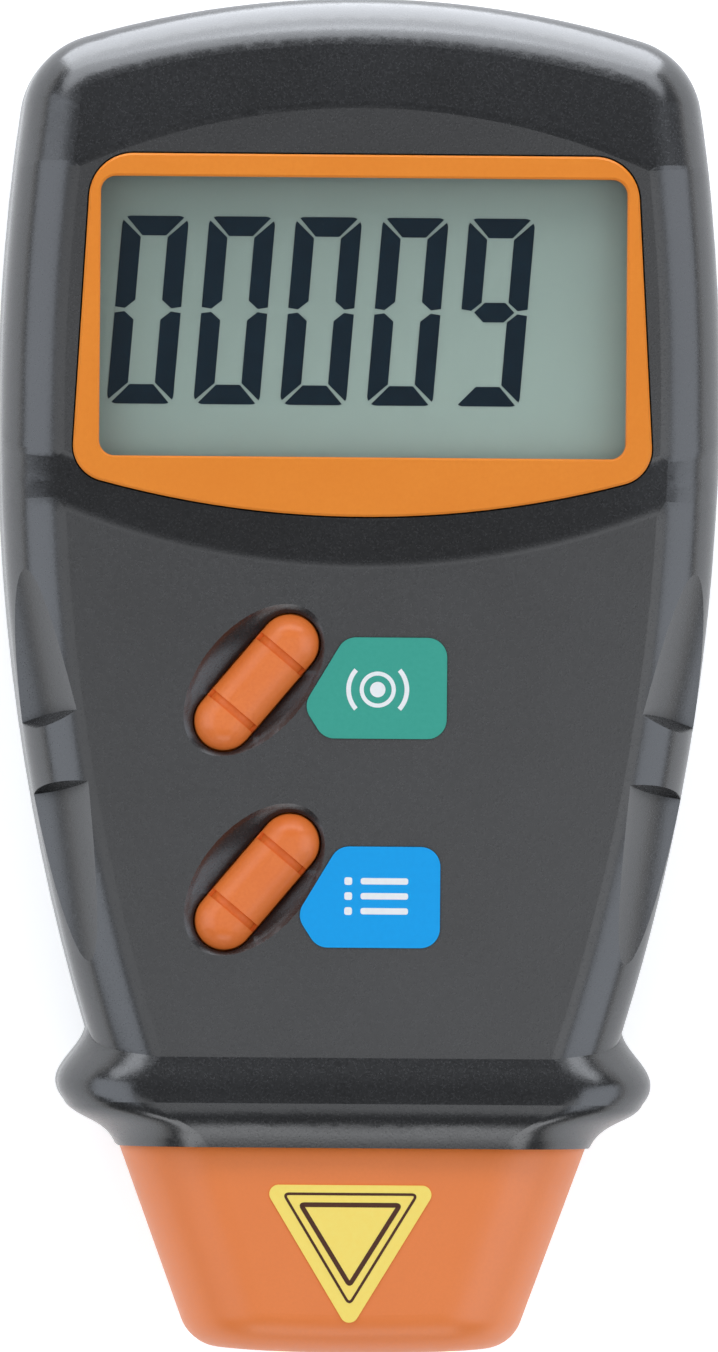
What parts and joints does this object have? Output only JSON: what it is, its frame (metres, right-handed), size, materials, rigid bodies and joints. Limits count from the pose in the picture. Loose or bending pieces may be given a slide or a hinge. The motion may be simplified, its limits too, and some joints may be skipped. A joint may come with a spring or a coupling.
{
  "type": "digital tachometer",
  "caption": "Hand-held optical tachometer: dark two-part case, framed number display, pill keys, tapered orange sensing nose and sliding battery door.",
  "frame": {"origin": "middle of the length and width, on the plane that the back rests on", "axes": "+Y from the sensing nose towards the display end, +Z out of the keypad, +X to the right with the keypad up and the display end away"},
  "size_m": [0.0698, 0.1314, 0.029],
  "materials": {
    "black_case": "dark grey moulded ABS with a fine spark texture",
    "orange_nose": "orange moulded ABS, satin",
    "orange_border": "orange moulded bezel, satin",
    "orange_key": "orange moulded key, soft satin",
    "clear_pane": "clear acrylic pane",
    "lcd_glass": "grey-green liquid crystal cell",
    "lcd_ink": "dark segments",
    "reflector": "white reflector film",
    "frame_plastic": "black moulded plastic",
    "zebra_rubber": "layered connector rubber",
    "green_field": "printed green field",
    "blue_field": "printed blue field",
    "yellow_field": "printed yellow pointer",
    "red_window": "dark red clear acrylic",
    "lens_glass": "polished clear lens",
    "circuit_board": "green solder mask",
    "chip_black": "moulded epoxy",
    "plated_steel": "plated metal",
    "barrel_brass": "turned brass",
    "plunger_plastic": "moulded plunger",
    "battery_can": "painted steel can",
    "snap_vinyl": "black vinyl cap",
    "pad_foam": "thin black foam",
    "red_wire": "red vinyl insulation",
    "black_wire": "black vinyl insulation"
  },
  "bodies": {
    "case": {"battery": "battery_can", "battery_pad": "pad_foam", "battery_snap": "snap_vinyl", "black_lead": "black_wire", "board_screws": "plated_steel", "capacitors": "plated_steel", "case_screws": "plated_steel", "collector_lens": "lens_glass", "controller_chip": "chip_black", "crystal": "plated_steel", "display_border": "orange_border", "display_window": "clear_pane", "front_shell": "black_case", "header_block": "chip_black", "header_pins": "plated_steel", "laser_barrel": "barrel_brass", "laser_diode": "plated_steel", "laser_lens": "lens_glass", "lcd_cell": "lcd_glass", "lcd_reflector": "reflector", "lcd_segments": "lcd_ink", "lcd_tray": "frame_plastic", "main_board": "circuit_board", "mem_label": "blue_field", "mem_switch": "chip_black", "nose_cover": "orange_nose", "nose_label": "yellow_field", "nose_window": "red_window", "optics_board": "circuit_board", "optics_holder": "frame_plastic", "optics_screws": "plated_steel", "photodiode": "chip_black", "rear_shell": "black_case", "red_lead": "red_wire", "resistors": "chip_black", "test_label": "green_field", "test_switch": "chip_black", "zebra_strips": "zebra_rubber"},
    "test_key": {"test_key": "orange_key", "test_plunger": "plunger_plastic"},
    "mem_key": {"mem_key": "orange_key", "mem_plunger": "plunger_plastic"},
    "battery_door": {"battery_door": "black_case"}
  },
  "joints": [
    {"name": "test_press", "type": "slide", "parent": "case", "child": "test_key", "axis": [0, 0, -1], "range_m": [0, 0.0006], "stiffness_N_per_m": 800},
    {"name": "mem_press", "type": "slide", "parent": "case", "child": "mem_key", "axis": [0, 0, -1], "range_m": [0, 0.0006], "stiffness_N_per_m": 800},
    {"name": "door_slide", "type": "slide", "parent": "case", "child": "battery_door", "axis": [0, 1, 0], "range_m": [0, 0.07]}
  ]
}
